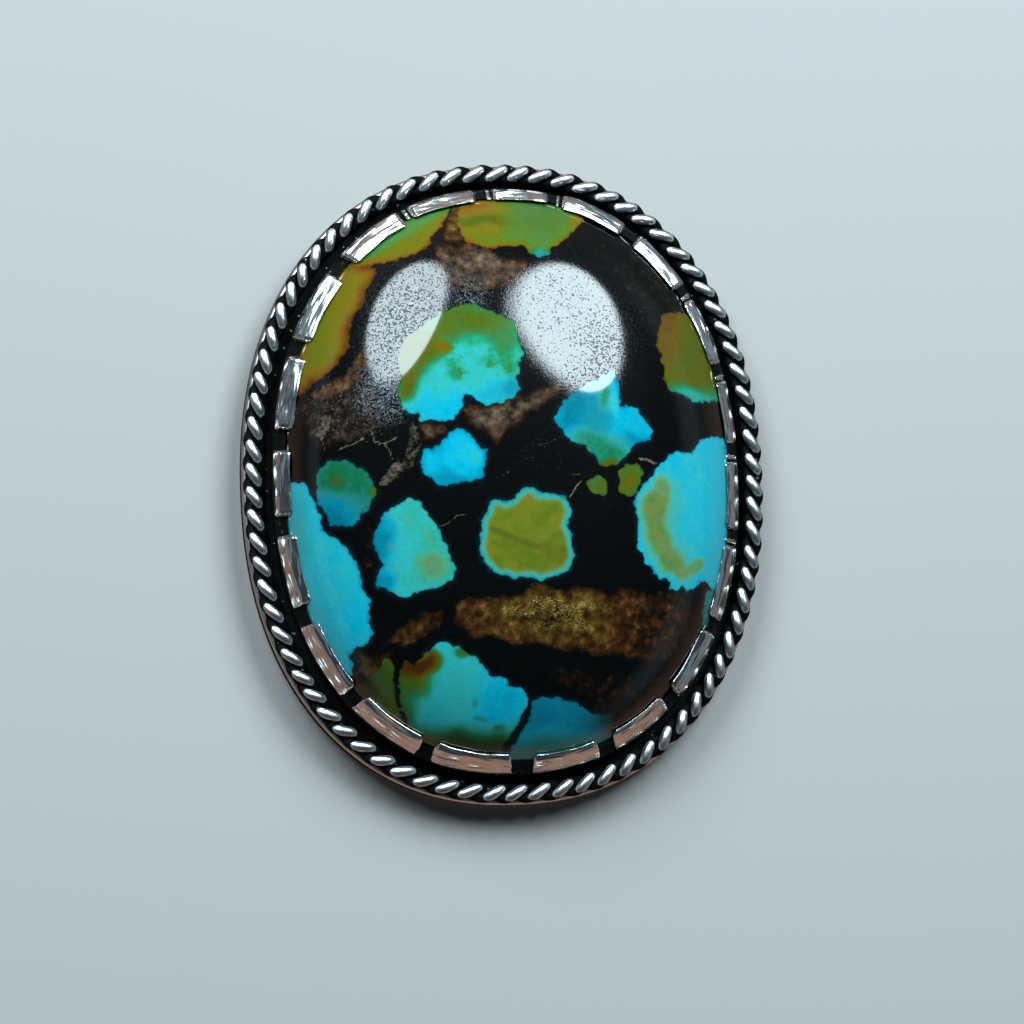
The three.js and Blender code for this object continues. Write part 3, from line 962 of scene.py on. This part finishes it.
for half_width, strength, vein in TAN_VEINS.values():
    tan = np.maximum(tan, strength * along_vein(wavy_pixels, half_width, vein))
specks, pits = (np.max([density * in_spot(*spot) for *spot, density in clouds], axis=0)
                for clouds in (SPECKS_AND_SPARKLE, PITS))
patch_numbers["turquoise_depth"] = np.clip(patch_numbers["turquoise_depth"], -DEEPEST, DEEPEST)
stone_numbers = patch_numbers | {"brown": brown, "redness": redness, "tan": tan}
stone_numbers |= {"specks": specks, "pits": pits}
for name, values in stone_numbers.items():
    store(stone.data, name, values)


def ramp(value, tints):
    """A colour by a value, from a list of values with their colours."""
    chart = Node(value.tree, "ShaderNodeValToRGB", {"Fac": value})
    stops = chart.made.color_ramp.elements
    while len(stops) < len(tints):
        stops.new(0.5)
    for stop, (place, colour) in zip(stops, tints):
        stop.position = place
        stop.color = (*colour, 1)
    return chart["Color"]


def make_stone_material():
    """Glossy turquoise in its patches, with a duller black and brown matrix between them."""
    material = new_material("polished turquoise")
    tree = material.node_tree
    place = place_in_mm(tree)
    laid_out = {name: number_on_mesh(tree, name) for name in stone_numbers}

    # The patches have crinkled edges
    lobes = Node(tree, "ShaderNodeTexVoronoi", {"Vector": place, "Scale": 2.3})["Distance"]
    edge = laid_out["turquoise_depth"] + spread(noise(place, 2.6, 3.0, 0.6), 0.26) - spread(lobes, 0.22)
    is_turquoise = smooth(edge, -0.04, 0.04)

    # Turquoise, coloured by age: blue, then green, then amber
    years = laid_out["turquoise_age"] + spread(noise(place, 0.9, 3.0), 0.20)
    years = years + spread(noise(place, 4.5, 3.0), 0.12)
    mottled = laid_out["mottle"] * smooth(noise(place, 2.6, 4.0, 0.6), 0.44, 0.74)
    youngest, oldest = -0.43, 1.0
    inputs = {"Value": mottled * 0.5 + years, "From Min": youngest, "From Max": oldest}
    years = Node(tree, "ShaderNodeMapRange", inputs)["Result"]
    tints = [(-0.30, (0.0003, 0.13, 0.21)), (-0.12, (0.001, 0.26, 0.38)), (0.0, (0.001, 0.41, 0.58)),
             (0.18, (0.03, 0.44, 0.44)), (0.30, (0.030, 0.38, 0.26)), (0.40, (0.012, 0.28, 0.11)),
             (0.50, (0.06, 0.19, 0.040)), (0.60, (0.09, 0.16, 0.012)), (0.70, (0.12, 0.14, 0.003)),
             (0.80, (0.18, 0.115, 0.003)), (0.90, (0.18, 0.070, 0.003)), (1.0, (0.105, 0.030, 0.002))]
    tints = [((years_old - youngest) / (oldest - youngest), colour) for years_old, colour in tints]
    turquoise = ramp(years, tints)

    # An olive stain with a green margin, then dark flecks, and the edges darker
    sea_green, dark_teal = (0.088, 0.37, 0.19, 1), (0.0, 0.12, 0.14, 1)
    olive = ramp(noise(place, 0.9, 2.0), [(0.35, (0.115, 0.155, 0.010)), (0.50, (0.155, 0.178, 0.012)),
                                          (0.65, (0.185, 0.168, 0.013))])
    gilding = laid_out["gilding"] + spread(noise(place, 2.5, 3.0), 0.16)
    turquoise = blend(smooth(gilding, 0.0, 0.7), turquoise, sea_green)
    turquoise = blend(smooth(gilding, 0.35, 1.0), turquoise, olive)
    turquoise = blend(smooth(noise(place, 5.5, 1.0), 0.66, 0.74) * 0.25, turquoise, dark_teal)
    # The lightness carries each patch's tone, and with it the painted shade along the stone's lower edge.
    lightness_and_shade = (noise(place, 3.0, 5.0, 0.65) * 0.36 + 0.82) * laid_out["turquoise_tone"]
    turquoise = turquoise * (lightness_and_shade * (smooth(edge, 0.0, 0.16) * 0.35 + 0.65))

    # The brown ground of the matrix, golden, reddish or grey, with pale fibres where it is golden
    pale_gold = (0.46, 0.34, 0.10, 1)
    grain = noise(place, 1.6, 6.0, 0.62)
    gold = ramp(grain, [(0.32, (0.012, 0.005, 0.0010)), (0.50, (0.070, 0.033, 0.0045)),
                        (0.62, (0.15, 0.082, 0.012)), (0.74, (0.33, 0.22, 0.05))])
    red = ramp(grain, [(0.32, (0.006, 0.002, 0.0006)), (0.50, (0.047, 0.015, 0.003)),
                       (0.62, (0.12, 0.042, 0.011)), (0.74, (0.27, 0.12, 0.045))])
    grey = ramp(grain, [(0.36, (0.010, 0.008, 0.006)), (0.50, (0.070, 0.045, 0.029)),
                        (0.62, (0.15, 0.095, 0.062)), (0.74, (0.27, 0.185, 0.13))])
    hue = laid_out["redness"]
    earth = blend(smooth(hue, 0.0, 1.0), gold, red)
    earth = blend(smooth(hue, 1.0, 1.8), earth, grey)
    from_fibre = abs(spread(noise(place, 2.3, 1.0, 0.5, 2.5), 1.0))
    golden = fading(abs(hue), 0.05, 0.5) * smooth(laid_out["brown"], 0.95, 1.12)
    golden = golden * smooth(noise(place, 0.8, 2.0), 0.42, 0.60)
    earth = blend(golden * fading(from_fibre, 0.0, 0.035), earth, pale_gold)

    # The matrix: black, blue beside young turquoise, with the ground, tan veins and light specks. The specks
    # are pale flecks, and where they are dense round the lamps' reflections they turn blue-white as painted
    # sparkle
    soot, ash, blue_black = (0.0010, 0.0013, 0.0012, 1), (0.012, 0.010, 0.008, 1), (0.0008, 0.009, 0.014, 1)
    vein_tan = (0.20, 0.155, 0.11, 1)
    grit = noise(place, 8.0, 3.0, 0.65)
    fringe = fading(laid_out["turquoise_age"], 0.3, 0.6) * smooth(edge, -0.30, -0.02)
    black = blend(fringe, blend(smooth(grit, 0.60, 0.75), soot, ash), blue_black)
    browned = laid_out["brown"] + spread(noise(place, 2.0, 5.0, 0.65), 0.9)
    matrix = blend(smooth(browned, 0.25, 0.85), black, earth)
    veined = laid_out["tan"] + spread(noise(place, 4.0, 4.0, 0.65), 2.0)
    matrix = blend(smooth(veined, 0.45, 1.50), matrix, vein_tan)
    specked_and_sparkling = fading(from_fibre, 0.0, 0.08) * 0.40 + (laid_out["specks"] + spread(grit, 1.0))
    # Dense specks are blue-white: painted sparkle of the lamps round their reflections
    dust_and_sparkle = ramp(laid_out["specks"], [(0.2, (0.09, 0.065, 0.05)), (0.5, (0.12, 0.11, 0.10)),
                                     (0.75, (0.20, 0.23, 0.26))])
    matrix = blend(smooth(specked_and_sparkling, 0.72, 0.98), matrix, dust_and_sparkle)

    # The gloss lies over both. It is less even on the matrix, and weak in the pits that the polish left
    pit_grey = (0.008, 0.011, 0.015, 1)
    bare = 1.0 - is_turquoise
    hollows = laid_out["pits"] * 0.16 + noise(place, 8.0, 2.0)
    pitted = smooth(hollows, 0.62, 0.68) * bare * smooth(laid_out["pits"], 0.0, 0.1)
    matrix = blend(pitted, matrix, pit_grey)
    under_gloss, in_gloss = (
        Node(tree, "ShaderNodeBump", {"Height": grit, "Strength": bare, "Distance": roughness})["Normal"]
        for roughness in (0.01 * MM, 0.0026 * MM))
    finish_material(tree, {
        "Base Color": blend(is_turquoise, matrix, turquoise),
        "Roughness": bare * 0.25 + 0.15,
        "IOR": 1.1,
        "Coat Weight": pitted * -0.76 + 1.0,
        "Coat Roughness": 0.045,
        "Coat IOR": 1.64,
        "Normal": under_gloss,
        "Coat Normal": in_gloss,
    })
    return material


stone.data.materials.append(make_stone_material())
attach(stone, "root")
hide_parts("turquoise_stone")

# Floor and light
# A pale plain table under two soft round lamps on the far side, whose reflections lie on the upper half of
# the dome. The room is dim overhead. It has a band of pale light over the table on the left and on the
# right, a faint glow level with the stone on the far right, and warm light low on the near side and at the
# far end.
FLOOR_HALF = 1.5
FLOOR_GAP = 0.02 * MM
TABLE_COLOUR = (0.46, 0.44, 0.425, 1)
LAMP_DISTANCE = 350 * MM
LAMP_COLOUR = (0.76, 0.93, 1.0)
LAMPS = [
    # name, direction from the stone, width and length in metres, turn in degrees, power
    ("left lamp", (-0.362, 0.622, 0.695), 0.176, 0.226, -36.0, 1.13),
    ("right lamp", (0.373, 0.548, 0.749), 0.176, 0.214, 22.4, 1.38),
]
DIM_ROOM = (0.020, 0.026, 0.032, 1)
PALE_LIGHT = (0.72, 0.90, 1.0, 1)
WARM_LIGHT = (0.31, 0.18, 0.125, 1)

floor_corners = np.array([(-1, -1, 0), (1, -1, 0), (1, 1, 0), (-1, 1, 0)]) * FLOOR_HALF - (0, 0, FLOOR_GAP)
floor = new_piece("floor", floor_corners, [(0, 1, 2, 3)])
floor.visible_glossy = False
floor_material = new_material("pale table")
finish_material(floor_material.node_tree, {"Base Color": TABLE_COLOUR, "Roughness": 0.7})
floor.data.materials.append(floor_material)

for name, direction, width, length, turn_degrees, power in LAMPS:
    lamp = bpy.data.lights.new(name, "AREA")
    lamp.shape = "ELLIPSE"
    lamp.size = width
    lamp.size_y = length
    lamp.energy = power
    lamp.color = LAMP_COLOUR
    toward_lamp = Vector(direction).normalized()
    side = Vector((0, 0, 1)).cross(toward_lamp).normalized()
    lamp_axes = Matrix((side, toward_lamp.cross(side), toward_lamp)).transposed().to_4x4()
    lamp_turn = Matrix.Rotation(math.radians(turn_degrees), 4, "Z")
    lamp_object = bpy.data.objects.new(name, lamp)
    lamp_object.matrix_world = Matrix.Translation(toward_lamp * LAMP_DISTANCE) @ lamp_axes @ lamp_turn
    scene.collection.objects.link(lamp_object)

world = bpy.data.worlds.new("room")
world.use_nodes = True
tree = world.node_tree
room_direction = Node(tree, "ShaderNodeTexCoord")["Generated"]
to_right, to_far_side, upward = (parts_of(room_direction)[part] for part in "XYZ")


def facing(direction, low, high):
    """How far the room's points lie toward a direction, eased from 0 at low to 1 at high."""
    inputs = {0: room_direction, 1: direction}
    return smooth(Node(tree, "ShaderNodeVectorMath", inputs, operation="DOT_PRODUCT")["Value"], low, high)


above_table = smooth(upward, 0.05, 0.25)
on_left = fading(to_right, -0.85, -0.45) * (above_table - smooth(upward, 0.30, 0.42))
on_right = smooth(to_right, 0.45, 0.85) * (above_table - smooth(upward, 0.36, 0.50))
far_right = facing((0.5, 0.87, 0.0), -0.3, 0.9)
level = fading(abs(upward), 0.2, 0.6) * (far_right * 0.04 + 0.04)
room = blend(on_right * 0.16 + (on_left * 0.19 + level), DIM_ROOM, PALE_LIGHT)
near_side = fading(to_far_side, -0.75, -0.15)
for across, warmth in ((-0.87, 0.75), (0.87, 0.6)):
    near_side = larger(near_side, facing((across, -0.50, 0.0), 0.25, 0.85) * warmth)
far_end = facing((-0.10, 0.99, 0.0), 0.75, 1.0) * fading(upward, 0.25, 0.55)
room = blend(larger(near_side * fading(upward, -0.20, 0.15), far_end), room, WARM_LIGHT)
tree.links.new(room.socket, tree.nodes["Background"].inputs["Color"])
scene.world = world
